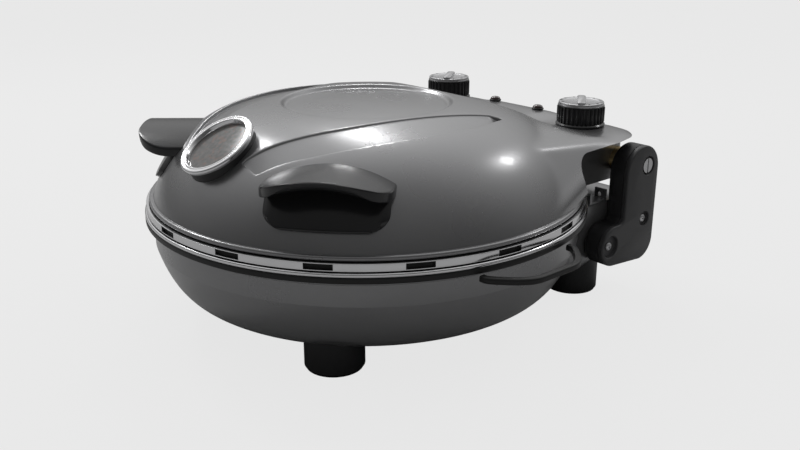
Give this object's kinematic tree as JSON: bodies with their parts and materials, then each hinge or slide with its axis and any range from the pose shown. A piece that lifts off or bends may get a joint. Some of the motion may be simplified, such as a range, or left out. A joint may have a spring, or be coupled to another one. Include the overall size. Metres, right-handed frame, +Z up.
{
  "type": "electric pizza maker",
  "caption": "Round countertop pizza oven with a domed lid hinged on two side arms, a window, a baking stone on a looped tray, and two control knobs at the rear.",
  "frame": {"origin": "on the table under the middle of the part's box; the round body's axis stands 11.5 mm in front of it (y = -0.0115 m)", "axes": "+Z up, -Y towards the front (window side), +X to the user's right"},
  "size_m": [0.387, 0.363, 0.165],
  "materials": {
    "painted_shell": "glossy metallic grey paint",
    "black_plastic": "moulded black",
    "arm_cover_plastic": "satin dark grey moulding",
    "rubber": "matt",
    "steel": "zinc plated",
    "chrome": "polished",
    "cap_silver": "silver metallised",
    "black_enamel": "black enamel",
    "gasket": "black heat-proof moulding",
    "stone": "fine cordierite",
    "reflector": "bright rolled sheet",
    "element_tube": "heat-darkened tube",
    "insulator": "matt white",
    "glass": "clear, slightly smoked",
    "brass": "turned",
    "control_plastic": "plain moulding",
    "lamp_lens": "translucent dark lens"
  },
  "bodies": {
    "base": {"base_shell": "painted_shell", "bottom_plate": "painted_shell", "bottom_screws": "steel", "foot_front_left": "black_plastic", "foot_front_right": "black_plastic", "foot_rear_left": "black_plastic", "foot_rear_right": "black_plastic", "foot_pads": "rubber", "foot_screws": "steel", "foot_nuts": "steel", "stone_tray": "black_enamel", "tray_loop_left": "black_enamel", "tray_loop_right": "black_enamel", "rim_ring": "chrome", "baking_stone": "stone", "lower_reflector": "reflector", "lower_element": "element_tube", "lower_clips": "steel", "lower_insulators": "insulator", "cord_gland": "black_plastic", "arm_tub_left": "black_plastic", "arm_tub_right": "black_plastic", "arm_cover_left": "arm_cover_plastic", "arm_cover_right": "arm_cover_plastic", "arm_screws": "steel", "hinge_pin_left": "steel", "hinge_pin_right": "steel", "hinge_bracket_left": "steel", "hinge_bracket_right": "steel"},
    "lid": {"lid_shell": "painted_shell", "lid_liner": "reflector", "upper_element": "element_tube", "upper_clips": "steel", "upper_insulators": "insulator", "vent_ring": "chrome", "vent_gasket": "gasket", "window_bezel": "chrome", "window_drum": "gasket", "window_glass": "glass", "window_nut": "steel", "liner_glass": "glass", "lid_handle_left": "black_plastic", "lid_handle_right": "black_plastic", "handle_screws": "steel", "housing_cover": "black_plastic", "hinge_bush_left": "brass", "hinge_bush_right": "brass", "timer_body": "control_plastic", "thermostat_body": "control_plastic", "shaft_nuts": "steel", "lamp_power": "lamp_lens", "lamp_heat": "lamp_lens", "lamp_holders": "black_plastic"},
    "timer_dial": {"timer_shaft": "steel", "timer_knob": "black_plastic", "timer_cap": "cap_silver"},
    "thermostat_dial": {"thermostat_shaft": "steel", "thermostat_knob": "black_plastic", "thermostat_cap": "cap_silver"}
  },
  "joints": [
    {"name": "lid_hinge", "type": "hinge", "parent": "base", "child": "lid", "pos_m": [0, 0.1675, 0.105], "axis": [-1, 0, 0], "range_deg": [0, 95]},
    {"name": "timer_turn", "type": "hinge", "parent": "lid", "child": "timer_dial", "pos_m": [0.0774, 0.1505, 0.131], "axis": [0, 0, -1], "range_deg": [0, 300]},
    {"name": "thermostat_turn", "type": "hinge", "parent": "lid", "child": "thermostat_dial", "pos_m": [-0.0774, 0.1505, 0.131], "axis": [0, 0, -1], "range_deg": [0, 270]}
  ]
}
